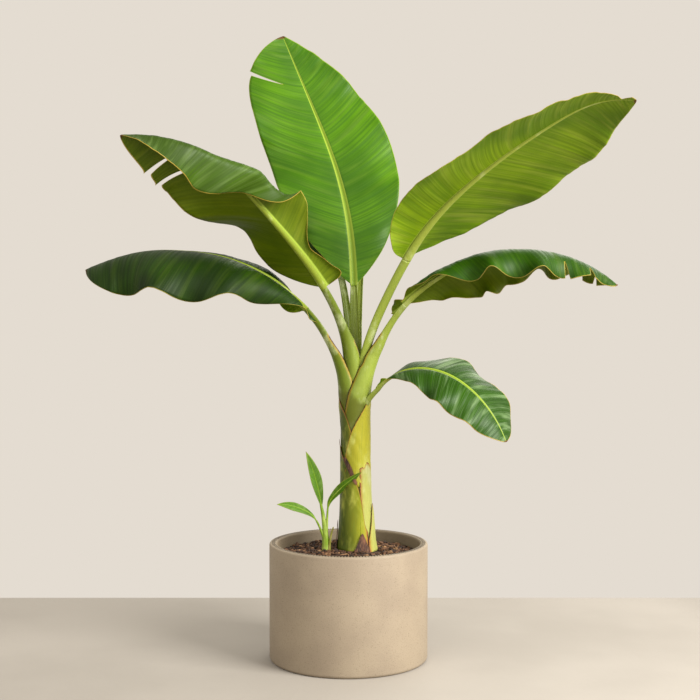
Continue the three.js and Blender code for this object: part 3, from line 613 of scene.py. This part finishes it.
LEAVES = {
    "centre": grow(
        foot=(16, 0, 655), base=292, end=1010,
        bearing=[(0, 95), (300, 95), (500, 119), (700, 141), (1010, 168)],
        rise=[(0, 86), (100, 85), (300, 73), (500, 68), (700, 64), (1010, 67)],
        rib=[(0, 8.5), (0.25, 7), (0.5, 5), (0.75, 3), (1, 0.8)],
        clasp=[(-90, 34, 120, 120), (0, 31, 110, 110), (60, 25, 95, 95), (110, 18, 85, 85),
               (200, 13, 85, 85), (292, 8.5, 88, 88)],
        left=half(163, root=(1.8, 0.8), tip=(4.5, 0.52), fold=[(0, 10)], lean=0.2,
            curl=[(0, -15), (0.5, -25), (1, -5)], wave=(8, 3, 0.05), tears=[(0.79, 0.6, 0.009)]),
        right=half(160, root=(1.7, 0.85), tip=(1.9, 0.85), fold=[(0, 10)],
            curl=[(0, -15)], wave=(6, 4, 0))),
    "upper_left": grow(
        foot=(21, 0, 655), base=310, end=980, dry=150,
        bearing=[(0, 225), (100, 230), (300, 221), (500, 221), (700, 220), (830, 212), (980, 197)],
        rise=[(0, 84), (100, 75), (200, 62), (300, 52), (450, 43), (700, 36), (830, 15), (980, -5)],
        rib=[(0, 11), (0.25, 8), (0.5, 5.5), (0.75, 3), (1, 0.8)],
        clasp=[(-90, 32, 120, 120), (0, 29, 115, 115), (40, 25, 115, 115), (60, 23.5, 125, 105),
               (80, 22.5, 130, 102), (100, 22, 133, 99), (120, 20.3, 133, 98), (150, 17.5, 120, 92),
               (180, 15.5, 95, 90), (220, 13.5, 88, 88), (310, 11, 88, 88)],
        left=half(155, root=(1.6, 0.35),
            trim=[(0, 1.2), (0.05, 0.65), (0.1, 0.42), (0.15, 0.26), (0.2, 0.31), (0.25, 0.5),
                  (0.3, 0.64), (0.4, 0.65), (0.5, 0.71), (0.6, 0.98), (0.7, 0.9), (0.8, 0.82),
                  (1, 1)],
            fold=[(0, 75), (0.2, 80), (0.33, 78), (0.4, 60), (0.5, 55), (0.6, 40), (0.7, 12),
                  (1, 0)],
            curl=[(0, -40), (0.2, -30), (0.3, -40), (0.5, -15), (1, -20)],
            crest=[(0, 0.8), (0.3, 0.8), (0.4, 0.62), (0.5, 0.48), (0.6, 0.33), (0.7, 0.25),
                  (1, 0.25)],
            hinge=[(0, -50), (0.15, -60), (0.25, 0), (0.34, 10), (0.4, -110), (0.5, -160),
                  (0.6, -140), (0.7, -115), (0.8, -80), (0.9, -50), (1, -10)],
            wave=(0, 1, 0)),
        right=half(162, root=(1.6, 0.6), lean=0.18,
            trim=[(0, 1), (0.06, 1.2), (0.12, 1.22), (0.2, 1.03), (0.27, 0.96), (0.4, 1), (1, 1)],
            fold=[(0, -5), (0.2, 0), (0.3, 4), (0.42, -8), (0.6, -18), (0.8, -36), (1, -50)],
            curl=[(0, -25), (0.2, -10), (0.3, -5), (0.42, -20), (0.6, -25), (1, -10)],
            wave=(6, 3, 0.1), tears=[(0.64, 0.85, 0.022), (0.76, 0.85, 0.018)])),
    "lower_left": grow(
        foot=(9, 0, 604), base=315, end=905, dry=230,
        ears=[lobe(262, 334, width=22, fold=-40, curl=-20, wave=(22, 1.5, 0.1))],
        seat=[(-175, 17.6, 0, 34.8), (-130, 17.5, 0, 34.6), (-85, 17.4, 0, 34.8), (-34, 17.4, 0, 35.2),
              (0, 16.4, 0.3, 36.2), (28, 14.8, 0.2, 38)],
        bearing=[(0, 210), (100, 213), (200, 207), (300, 200), (400, 194), (500, 187), (700, 178)],
        rise=[(0, 84), (100, 73), (200, 62), (300, 47), (400, 35), (500, 24), (600, 9), (700, 0),
              (800, -15), (905, -24)],
        rib=[(0, 11), (0.25, 7.5), (0.5, 5), (0.75, 3), (1, 0.8)],
        clasp=[(-175, 36.8, 130, 130), (0, 36.8, 125, 125), (36, 38, 118, 118), (71, 31.5, 100, 112),
               (90, 26.6, 88, 110), (105, 23.6, 97, 108), (123, 20.5, 99, 105), (171, 16.5, 95, 95),
               (200, 14.5, 84, 92), (220, 13.5, 81, 90), (315, 11, 84, 88)],
        shift=[(0, 5), (36, 10), (71, 7.5), (105, 5), (171, 3), (220, 0)],
        left=half(185, root=(2, 0.7), tip=(4, 0.5),
            trim=[(0, 0.4), (0.1, 0.58), (0.2, 0.78), (0.3, 0.86), (0.5, 1.03), (0.8, 0.97),
                  (1, 0.95)],
            fold=[(0, -12), (1, -15)], curl=[(0, -85)], wave=(17, 2.98, 0.235)),
        right=half(140, root=(2.2, 0.62), fold=[(0, -20), (0.12, 50), (0.4, 40), (0.6, 25), (1, 15)],
            curl=[(0, -90), (0.12, -100), (0.5, -90), (1, -70)], wave=(15, 3, 0.5))),
    "upper_right": grow(
        foot=(21, 0, 655), base=395, end=1095, dry=100,
        bearing=[(0, -35), (200, -39), (350, -46), (500, -42), (700, -37), (900, -30), (1095, -22)],
        rise=[(0, 84), (100, 76), (200, 63), (300, 56), (400, 50), (500, 43), (600, 36), (800, 29),
              (950, 23), (1095, -12)],
        roll=[(0, 0), (300, 0), (500, 14)], rib=[(0, 14), (0.2, 9.5), (0.5, 5.5), (0.75, 3), (1, 0.8)],
        clasp=[(-90, 31, 110, 110), (0, 29, 105, 105), (40, 22, 98, 98), (60, 19, 98, 98),
               (100, 15.5, 92, 92), (150, 14.8, 90, 90), (250, 14.5, 90, 90), (395, 14, 88, 88)],
        left=half(202, widest=0.42, root=(1.8, 0.85), tip=(2.6, 0.75), fold=[(0, 5), (1, -5)],
            curl=[(0, -10), (0.3, -12), (1, -25)], wave=(3, 3, 0.4)),
        right=half(136, widest=0.36, root=(3, 0.55), tip=(2, 0.8), fold=[(0, 5)],
            trim=[(0, 1), (0.2, 1.05), (0.3, 1.11), (0.4, 1.07), (0.5, 0.92), (0.6, 0.97),
                  (0.75, 1), (1, 1)],
            curl=[(0, -10), (1, -20)], wave=(3, 3, 0.6), tears=[(0.955, 0.85, 0.02)])),
    "lower_right": grow(
        foot=(24, 0, 604), base=325, end=900, widest=0.42, dry=230,
        ears=[lobe(284, 334, width=32, fold=72, curl=10, wave=(26, 1.5, 0.2), other=4)],
        seat=[(-150, 17.6, 0, 36), (-34, 17.4, 0, 36.4), (0, 16.6, 0, 37.4), (28, 15.6, 0, 39.4),
              (51, 15.2, -1, 40.4), (70, 21, -5.5, 36.5), (90, 29, -10, 30), (110, 36.5, -14.2, 25.7),
              (130, 43.3, -16.5, 23.2)],
        bearing=[(0, -30), (200, -26), (300, -25), (400, -18), (600, -11), (900, -4)],
        rise=[(0, 84), (100, 72), (200, 65), (300, 49), (400, 34), (500, 26), (600, 7), (700, -8),
              (900, -42)],
        rib=[(0, 11), (0.25, 7.5), (0.5, 5), (0.75, 3), (1, 0.8)],
        clasp=[(-150, 38, 150, 160), (-34, 38, 140, 132), (-20, 38, 135, 122), (0, 38, 125, 111.5),
               (20, 38, 116, 102.5), (40, 38, 100, 93), (50, 38, 95, 89.5), (60, 36.4, 96, 91),
               (70, 33.8, 98, 95), (90, 28.5, 104, 104), (110, 25, 108, 110), (130, 23, 107, 112),
               (145, 21.8, 106, 103), (160, 20.5, 105, 108), (175, 18.5, 100, 114), (205, 15, 94, 112),
               (220, 14, 91, 104), (240, 13.2, 90, 92), (265, 12.3, 88, 88), (325, 11, 88, 88)],
        shift=[(0, 5), (51, 13), (103, 11), (160, 7), (185, 3), (205, 0)],
        left=half(122, root=(1.5, 0.9), fold=[(0, -20), (0.4, -10), (0.47, 0), (0.6, 8), (1, 5)],
            curl=[(0, -60), (0.3, -110), (0.45, -95), (0.55, -70), (0.7, -60), (1, -50)],
            wave=(23, 5.5, -0.295),
            tears=[(0.7, 0.5, 0.012), (0.8, 0.5, 0.012), (0.89, 0.5, 0.01)]),
        right=half(125, root=(1.5, 0.9),
            fold=[(0, 30), (0.12, 22), (0.25, 20), (0.4, 8), (0.6, 0), (1, 0)],
            curl=[(0, 0), (0.12, -30), (0.25, -100), (0.4, -95), (1, -80)],
            wave=(24, 4.6, -0.81), tears=[(0.72, 0.45, 0.012), (0.84, 0.45, 0.012)])),
    "small_right": grow(
        foot=(21, 0, 554), base=175, end=575, widest=0.5,
        seat=[(0, 21, 0, 16), (60, 36.5, -15, 12), (88, 39, -17.2, 10), (104, 43, -20, 9.6)],
        ears=[lobe(146, 186, width=15, fold=60, curl=10, wave=(26, 1.5, 0.2))],
        bearing=[(0, -38), (100, -38), (200, -27), (300, -24), (400, -21), (575, -15)],
        rise=[(0, 72), (60, 68), (100, 62), (200, 29), (300, -6), (400, -35), (500, -56), (575, -70)],
        roll=[(0, 0), (180, 0), (280, -25), (575, -30)],
        rib=[(0, 6.5), (0.25, 5), (0.5, 3.8), (0.75, 2.4), (1, 0.8)],
        clasp=[(0, 17, 90, 90), (60, 14, 90, 90), (100, 11, 90, 90), (140, 9, 90, 90),
               (175, 6.5, 88, 88)],
        left=half(98, root=(3, 0.5), tip=(3, 0.7), fold=[(0, 25), (0.12, 20), (0.25, 8), (1, 5)],
            trim=[(0, 1), (0.2, 1), (0.38, 0.9), (0.5, 1), (0.7, 0.9), (0.85, 1.04), (1, 1.1)],
            curl=[(0, -25), (1, -15)], wave=(12, 3, 0)),
        right=half(93, root=(1.4, 1), tip=(2.6, 0.7), fold=[(0, 0), (1, -5)],
            curl=[(0, -60), (1, -20)], wave=(12, 4, 0.2))),
    "back_left": grow(
        foot=(12, 20, 655), base=340, end=830,
        bearing=[(0, 110), (300, 112), (420, 124), (830, 132)],
        rise=[(0, 84), (150, 77), (340, 57), (500, 38), (650, 14), (830, -14)],
        rib=[(0, 9), (0.25, 7), (0.5, 5), (0.75, 3), (1, 0.8)],
        clasp=[(-60, 16, 100, 100), (0, 16, 100, 100), (120, 12, 90, 90), (340, 9, 88, 88)],
        left=half(90, root=(2.2, 0.62), fold=[(0, 10), (1, -5)],
            curl=[(0, -50), (1, -60)], wave=(12, 3, 0.3)),
        right=half(80, root=(1.6, 1), fold=[(0, 40), (0.3, 10), (1, -5)],
            curl=[(0, -30), (1, -60)], wave=(12, 3, 0.1))),
    "back_right": grow(
        foot=(21, 20, 655), base=380, end=920,
        bearing=[(0, 85), (400, 82), (600, 82), (920, 80)],
        rise=[(0, 84), (150, 78), (400, 54), (550, 30), (700, 4), (820, -16), (920, -32)],
        rib=[(0, 8), (0.25, 6.5), (0.5, 5), (0.75, 3), (1, 0.8)],
        clasp=[(-60, 15, 100, 100), (0, 15, 100, 100), (120, 11, 90, 90), (380, 8, 88, 88)],
        left=half(80, root=(1.6, 1), fold=[(0, -25), (0.3, 0), (1, -5)],
            curl=[(0, -40), (1, -60)], wave=(12, 3, 0.6)),
        right=half(75, root=(2.2, 0.62), fold=[(0, 10), (1, -5)],
            curl=[(0, -40), (1, -60)], wave=(12, 3, 0.2))),
}


def midrib(leaf):
    """Points P every STEP along a leaf with their direction T, right side S and upper side N."""
    turn = math.radians(leaf["bearing"][0][1])
    point = np.array(leaf["foot"], float)
    side = np.array([math.sin(turn), -math.cos(turn), 0])
    lengths = np.arange(0, leaf["end"] + STEP, STEP)
    bearing, rise, roll = (np.radians(ease(leaf[key], lengths)) for key in ("bearing", "rise", "roll"))
    rows = []
    for b, r, o in zip(bearing, rise, roll):
        T = np.array([math.cos(b) * math.cos(r), math.sin(b) * math.cos(r), math.sin(r)])
        side = side - T * side.dot(T)
        side /= np.linalg.norm(side)
        S = side * math.cos(o) + np.cross(side, T) * math.sin(o)
        rows.append((point.copy(), T, S, np.cross(S, T)))
        point += T * STEP
    return [np.array([row[i] for row in rows]) for i in range(4)]


def frame_at(frames, s):
    """The point and the three directions at every length s, straight on before the first."""
    i = np.clip(np.asarray(s, float) / STEP, 0, len(frames[0]) - 1.001)
    low = i.astype(int)
    q = (i - low)[..., None]
    P, T, S, N = (f[low] * (1 - q) + f[low + 1] * q for f in frames)
    unit = [v / np.linalg.norm(v, axis=-1, keepdims=True) for v in (T, S, N)]
    return P, *unit


def outline(part, widest, t):
    """The breadth of a half blade, from 0 to 1, at every share t of its length."""
    low = np.clip(1 - t / widest, 0, 1)
    high = np.clip((t - widest) / (1 - widest), 0, 1)
    rooted = (1 - low ** part["root"][0]) ** part["root"][1]
    tipped = (1 - high ** part["tip"][0]) ** part["tip"][1]
    return np.where(t < widest, rooted, tipped)


RIB_COLUMNS = 3
SLICES = 18
HINGE_SPREAD = 0.4


def blade_half(leaf, frames, side, t, split, columns, seed):
    """One half of a blade: points, distances to the free edge and vein places for every row t.
    split is how far each row is pushed along at the margin, where the blade is torn."""
    part = leaf["right"] if side > 0 else leaf["left"]
    length = leaf["end"] - leaf["base"]
    t = t[:, None]
    rib = ease(leaf["rib"], t)
    lean = part.get("lean", VEIN_LEAN) * 3.6 * t * (1 - t)
    width = part["width"] * outline(part, part.get("widest", leaf["widest"]), np.clip(t + lean, 0, 1))
    trim = ease(part.get("trim", [(0, 1)]), np.clip(t + lean, 0, 1))
    width = np.maximum(width * trim, rib * 1.05)

    # v runs from the midrib's middle to the margin, with RIB_COLUMNS of it over the midrib.
    k = np.arange(columns + RIB_COLUMNS + 1)[None, :]
    start = rib / width
    outer = start + (1 - start) * np.clip((k - RIB_COLUMNS) / columns, 0, 1)
    v = np.where(k <= RIB_COLUMNS, start * k / RIB_COLUMNS, outer)
    push = np.zeros_like(v)
    for tear, depth, gap in part["tears"]:
        push += split[tear][:, None] * gap * np.clip((v - (1 - depth)) / depth, 0, 1)
    tv = np.clip(t + lean * v**1.4 + push, 0, 1)

    # The slope of the half changes on its way out, and is summed in SLICES to keep the width.
    swing, count, begin = part["wave"]
    fold, curl = np.radians(ease(part["fold"], tv)), np.radians(ease(part["curl"], tv))
    wave = math.radians(swing) * np.sin(2 * math.pi * (count * tv + begin)) * 1.6
    u = v[..., None] * (np.arange(SLICES) + 0.5) / SLICES
    crest = ease(part.get("crest", [(0, 0.5)]), tv)[..., None]
    bend = np.clip((u - crest) / HINGE_SPREAD + 0.5, 0, 1)
    hinge = np.radians(ease(part.get("hinge", [(0, 0)]), tv))[..., None] * (3 * bend**2 - 2 * bend**3)
    angle = fold[..., None] + curl[..., None] * u + wave[..., None] * u**2 + hinge
    across = np.cos(angle).mean(axis=-1) * v * width
    above = np.sin(angle).mean(axis=-1) * v * width

    # Shallow pleats lie along the veins, the margin is frilled, and the midrib is a channel.
    place = t * length
    pleat = (0.5 * wander(place[:, 0], seed, 9) + 0.7 * wander(place[:, 0], seed + 5, 19))[:, None]
    middle = np.sin(math.pi * np.clip((v - start) / (1 - start), 0, 1)) ** 0.7
    frill = (wander(place[:, 0], seed + 8, 38) + 0.4 * wander(place[:, 0], seed + 6, 15))[:, None]
    lift = pleat * middle * min(1, length / 400) + 3.0 * frill * v**5 * min(1, part["width"] / 120)
    x = v * width
    lift = lift - 0.45 * rib * np.clip(1 - (x / rib) ** 2, 0, 1)

    P, _, S, N = frame_at(frames, leaf["base"] + tv * length)
    last = angle[..., -1]
    points = P + S * (side * (across - np.sin(last) * lift))[..., None]
    points = points + N * (above + np.cos(last) * lift)[..., None]
    edge = (1 - v) * width
    for tear, depth, _ in part["tears"]:
        edge = np.minimum(edge, np.abs(t - tear) * length + 40 * (v < 1 - depth))
    return points, edge, place + 0 * v, side * v, np.minimum(x / rib, 9)


def blade(leaf, frames, seed, skins, rows=190, columns=22, wall=0.9):
    """A blade of both halves over the midrib's channel. skins are those of its upper face, its
    under face and the midrib that is joined to it."""
    even = np.linspace(0, 1, rows)
    t = 0.25 * (0.5 - 0.5 * np.cos(np.pi * even)) + 0.75 * even
    tears = [tear for part in (leaf["left"], leaf["right"]) for tear, _, _ in part["tears"]]
    for tear in tears:
        t = t[np.abs(t - tear) > 0.4 / rows]
    t = np.sort(np.concatenate([t, np.repeat(tears, 2)]))
    split, broken = {}, []
    for tear in tears:
        first = int(np.searchsorted(t, tear))
        push = np.exp(-np.abs(t - tear) * 40)
        push[: first + 1] *= -1
        split[tear] = push
        broken.append(first)
    halves = [blade_half(leaf, frames, side, t, split, columns, seed) for side in (-1, 1)]
    both = [np.concatenate([left[:, :0:-1], right], axis=1) for left, right in zip(*halves)]
    points, edge, place, share, spine = both
    edge = np.minimum(edge, (1 - t)[:, None] * (leaf["end"] - leaf["base"]) * 0.6)
    across = points.shape[1]
    deselect()
    bpy.ops.mesh.primitive_grid_add(x_subdivisions=across - 1, y_subdivisions=len(t) - 1, size=2)
    made = bpy.context.object
    mesh = made.data
    mesh.vertices.foreach_set("co", (points * MM).astype(np.float32).reshape(-1))
    values = dict(edge=edge, place=place, share=share, tip=(1 - t)[:, None] + 0 * edge, rib=spine)
    for key, value in values.items():
        column = value.astype(np.float32).reshape(-1)
        mesh.attributes.new(key, "FLOAT", "POINT").data.foreach_set("value", column)
    doomed = {r * (across - 1) + c for r in broken for c in range(across - 1)}
    shape = bmesh.new()
    shape.from_mesh(mesh)
    shape.faces.ensure_lookup_table()
    bmesh.ops.delete(shape, geom=[shape.faces[i] for i in doomed], context="FACES_ONLY")
    bmesh.ops.remove_doubles(shape, verts=shape.verts, dist=0.00002)
    shape.to_mesh(mesh)
    shape.free()
    row, rib = len(t) // 2, across // 2
    right, ahead = points[row, rib + 6] - points[row, rib], points[row + 3, rib] - points[row, rib]
    if Vector(np.cross(right, ahead)).dot(mesh.polygons[len(mesh.polygons) // 2].normal) < 0:
        mesh.flip_normals()
    skin = made.modifiers.new("wall", "SOLIDIFY")
    skin.thickness = wall * MM
    skin.offset = 0
    skin.material_offset = 1
    skin.use_quality_normals = True
    for face_skin in skins:
        mesh.materials.append(face_skin)
    bpy.ops.object.modifier_apply(modifier="wall")
    bpy.ops.object.shade_smooth()
    return made


def crescent(centre, S, N, radius, left, right, wall, lip=1.6, points=18):
    """Rings of a stalk's section: an arc below, a channel above, thick in the middle."""
    share = np.linspace(-1, 1, points)[None, :]
    span = np.where(share < 0, left[:, None], right[:, None])
    turn = np.radians(span) * share
    thick = lip + (wall - lip)[:, None] * np.cos(share * np.pi / 2) ** 1.6
    arcs = []
    for reach in (radius[:, None] + 0 * thick, radius[:, None] - thick):
        arc = centre[:, None, :] - N[:, None, :] * (reach * np.cos(turn))[..., None]
        arcs.append(arc + S[:, None, :] * (reach * np.sin(turn))[..., None])
    edge = (1 - np.abs(share)) * np.radians(span) * radius[:, None]
    rings = np.concatenate([arcs[0], arcs[1][:, ::-1]], axis=1)
    return rings, np.concatenate([edge, edge[:, ::-1]], axis=1)


SEAT_FADE = 44
DRY_FADE = 70
GREEN_AT = 60


def stalk(name, leaf, frames):
    """A leaf's stalk from inside its sheath, where it clasps the stem, up to the blade. Below its
    foot it follows the column, and a seat moves it by an offset that fades over SEAT_FADE."""
    clasp = leaf["clasp"]
    s = np.arange(clasp[0][0], leaf["base"] + 3, 4.0)
    radius, left, right = (ease([(c[0], c[i]) for c in clasp], s) for i in (1, 2, 3))
    P, _, S, N = frame_at(frames, np.maximum(s, 0))
    centre = P + N * ease(leaf.get("shift", [(0, 0)]), s)[:, None]
    below = s < 0
    centre[below] = stem_centre(leaf["foot"][2] + s[below])
    if "shift" not in leaf:
        centre[below, :2] = frames[0][0][:2]
    if "seat" in leaf:
        centre[below, :2] = centre[~below][0, :2]
        own = [centre[:, 0].copy(), centre[:, 1].copy(), radius]
        for i, values in enumerate(own):
            gap = [(k[0], k[i + 1] - np.interp(k[0], s, values)) for k in leaf["seat"]]
            own[i] = values + ease(gap + [(gap[-1][0] + SEAT_FADE, 0)], s)
        centre[:, 0], centre[:, 1], radius = own
    wall = np.clip(radius * 0.62, 2.2, 9) * np.clip(1.6 - radius / 40, 0.35, 1)
    rings, edge = crescent(centre, S, N, radius, left, right, wall)
    green = GREEN_AT * np.clip((s - leaf.get("dry", -40)) / DRY_FADE, 0, 1)
    return loft(name, rings, edge + green[:, None])


def keel(leaf, frames):
    """The midrib under a blade: the stalk's last taper, round below."""
    t = np.linspace(0, 1, 150)
    P, _, S, N = frame_at(frames, leaf["base"] - 2 + t * (leaf["end"] - leaf["base"]))
    radius = ease(leaf["rib"], t)
    quarter = np.full(len(t), 88.0)
    rings, _ = crescent(P, S, N, radius, quarter, quarter, radius * 0.55, 0.4, 14)
    return loft("keel", rings)


def leaf_side(name, dark, bright, sheen, margin, matt, sheen_share, vein_dark,
              spine="93a83a", groove="5c7a14"):
    """One face of a blade: parallel veins, streaks of painted sheen between them, a thin golden
    margin and a tip that has dried brown."""
    skin = Finish(name)
    place, share = skin.attribute("place"), skin.attribute("share")
    edge, tip = skin.attribute("edge"), skin.attribute("tip")

    def veins(along, across, away, detail):
        line = skin.node("CombineXYZ", {}, {0: place * along, 1: share * across, 2: away})
        return skin.grain(line, 1.0, detail)

    fine = veins(0.16, 0.35, 0.0, 2.0)
    hair = veins(0.55, 0.3, 4.0, 1.0)
    sheen_streaks = veins(0.06, 0.7, 9.0, 3.0)
    cloud = skin.grain(skin.place(), 7, 2)
    colour = skin.mix(cloud.ramp(0.3, 0.7), paint(dark), paint(bright))
    colour = skin.mix(fine.ramp(0.62, 0.38) * vein_dark, colour, paint(dark))
    # Painted sheen: pale streaks along the veins, and a little along the fine hair lines, stand in for
    # the gloss of the leaf catching the light.
    colour = skin.mix(sheen_streaks.ramp(0.48, 0.75) * sheen_share, colour, paint(sheen))
    colour = skin.mix(hair.ramp(0.5, 0.7) * 0.15, colour, paint(sheen))
    rib = skin.attribute("rib")
    colour = skin.mix(rib.ramp(1.35, 0.95) * 0.9, colour, paint(spine))
    colour = skin.mix(rib.ramp(0.62, 0.3) * 0.65, colour, paint(groove))
    ragged = edge + 1.2 * (hair - 0.5)
    colour = skin.mix(ragged.ramp(2.0, 0.7), colour, paint(margin))
    colour = skin.mix(ragged.ramp(0.9, 0.2) * 0.4, colour, paint("7a5a20"))
    brown = tip.ramp(0.014, 0.004)
    colour = skin.mix(brown, colour, paint("5b4022"))
    return skin.surface(
        fine + 0.35 * hair,
        0.0009,
        0.35,
        Base_Color=colour,
        Roughness=matt + 0.16 * (1 - fine.ramp(0.35, 0.65)) + 0.3 * brown,
        Specular_IOR_Level=0.16,
    )


UPPER_FACES = {
    "centre": ("305a02", "4c7a06", "70902c", "7f9c2c", 0.36, 0.25, 0.7),
    "upper_left": ("273d00", "385506", "5f7838", "a8943a", 0.42, 0.45, 0.5),
    "lower_left": ("102400", "203c00", "3f5412", "8f8a3a", 0.45, 0.3, 0.6),
    "upper_right": ("345c06", "4f7e0c", "7a9a40", "a89a44", 0.38, 0.35, 0.5),
    "lower_right": ("1c3b02", "315a04", "5b7824", "a09440", 0.4, 0.25, 0.7),
    "small_right": ("1c3a02", "2c5206", "86a070", "b09a44", 0.32, 0.5, 0.7),
}
upper = {title: leaf_side(f"leaf_upper_{title}", *looks) for title, looks in UPPER_FACES.items()}
# The under faces' colours hold the paler underside and also painted light: the glow of light shining
# through the blade.
under_warm = leaf_side("leaf_under_warm", "465a00", "5e7000", "7c8620", "b3a04a", 0.5, 0.3, 0.5)
under_green = leaf_side("leaf_under_green", "4e6c04", "749008", "98a43c", "98a03a", 0.5, 0.35, 0.6)
upper["back_left"] = upper["back_right"] = upper["lower_right"]
unders = {"upper_left": under_warm, "lower_right": under_warm}
rib_skin = stem_skin("rib_skin", "7f8e22", "93a03a", "b4bf78", 0.1, 0.0)
stalk_skin = stem_skin("stalk_skin", "5c6c0e", "8b9a3a", "c0c998", 2.2, 0.35, 0.0, 0.8)

for number, (title, leaf) in enumerate(LEAVES.items()):
    frames = midrib(leaf)
    settle(stalk(f"petiole_{title}", leaf, frames), f"petiole_{title}", stalk_skin)
    skins = (upper[title], unders.get(title, under_green), rib_skin)
    sheet = blade(leaf, frames, number * 31 + 2, skins)
    rib = keel(leaf, frames)
    rib.data.materials.append(rib_skin)
    ears = [
        blade(dict(leaf, **ear), frames, number + 77, skins, rows=40, columns=8)
        for ear in leaf.get("ears", [])
    ]
    join(sheet, [rib, *ears])
    settle(sheet, f"blade_{title}")

# ---- sucker ----
# A young shoot from the same root, left of the stem's foot: a thin green stem with one upright
# leaf at its top and a narrow leaf on a stalk of its own to each side, and a bare stub by it.

SUCKER_STEM = grow(foot=(-57, -15, STEM_FOOT), base=118, end=126, bearing=[(0, 180)],
                   rise=[(0, 90), (110, 78)])
SUCKER_STUB = grow(foot=(-49, -20, STEM_FOOT), base=62, end=70, bearing=[(0, -12)],
                   rise=[(0, 88), (60, 70)])


def narrow(width, fold, curl):
    """One half of a young leaf, blunt at both ends."""
    return half(width, root=(1.6, 0.9), tip=(1.6, 0.9), fold=[(0, fold)], curl=[(0, curl)],
                wave=(3, 2, 0.2))


# at is how far up the sucker's stem each of its leaves starts.
SUCKER_LEAVES = {
    "upright": dict(
        at=108, base=0, end=150, widest=0.5,
        bearing=[(0, 195)], rise=[(0, 82), (150, 66)], roll=[(0, 75)],
        left=narrow(16, 20, -20), right=narrow(16, 20, -20)),
    "right": dict(
        at=18, base=86, end=226, widest=0.6, bearing=[(0, -25), (86, -28), (226, -20)],
        rise=[(0, 86), (84, 83), (120, 50), (226, 34)], roll=[(0, 35)],
        left=narrow(15, 15, -30), right=narrow(15, 15, -30)),
    "left": dict(
        at=12, base=68, end=184, widest=0.6, bearing=[(0, 195)],
        rise=[(0, 76), (66, 60), (95, 34), (135, 18), (184, 0)], roll=[(0, 45)],
        left=narrow(13, 10, -40), right=narrow(13, 15, -30)),
}
young = leaf_side(
    "young_leaf", "3a5c0a", "527a1a", "8aa05a", "6f8a2c", 0.42, 0.3, 0.4, "7a9a30", "5f8020"
)
shoot_skin = stem_skin("shoot_skin", "6f8c16", "86a022", "a9ba5c", 0.4, 0.1)


def shoot(name, part, thick, thin):
    """A round stem along a part's midrib up to its base, from thick to thin, and the midrib."""
    frames = midrib(part)
    s = np.linspace(0, part["base"], 30)
    P, _, S, N = frame_at(frames, s)
    radius = thick + (thin - thick) * (s / part["base"]) ** 0.8
    turn = np.linspace(0, 2 * np.pi, 20, endpoint=False)[None, :, None]
    round_it = np.cos(turn) * N[:, None, :] + np.sin(turn) * S[:, None, :]
    return loft(name, P[:, None, :] + radius[:, None, None] * round_it), frames


stem, sucker_frames = shoot("sucker_stem", SUCKER_STEM, 11, 3.2)
settle(stem, "sucker_stem", shoot_skin)
stub, _ = shoot("sucker_stub", SUCKER_STUB, 5, 1.5)
stub_skin = stem_skin("stub_skin", "6c6a1e", "8a8a34", "a8a060", 0.4, 0.6)
settle(stub, "sucker_stub", stub_skin)
for number, (title, leaf) in enumerate(SUCKER_LEAVES.items()):
    foot = frame_at(sucker_frames, np.array([float(leaf["at"])]))[0][0]
    leaf = dict(leaf, foot=tuple(foot), rib=[(0, 2.2), (0.5, 1.2), (1, 0.5)])
    frames = midrib(leaf)
    skins = (young, young, shoot_skin)
    sheet = blade(leaf, frames, 300 + number, skins, rows=70, columns=8, wall=0.7)
    grown_on = [keel(leaf, frames)]
    if leaf["base"]:
        grown_on.append(shoot("stalklet", leaf, 4.6, 2.4)[0])
    for part in grown_on:
        part.data.materials.append(shoot_skin)
    join(sheet, grown_on)
    settle(sheet, f"sucker_leaf_{title}")
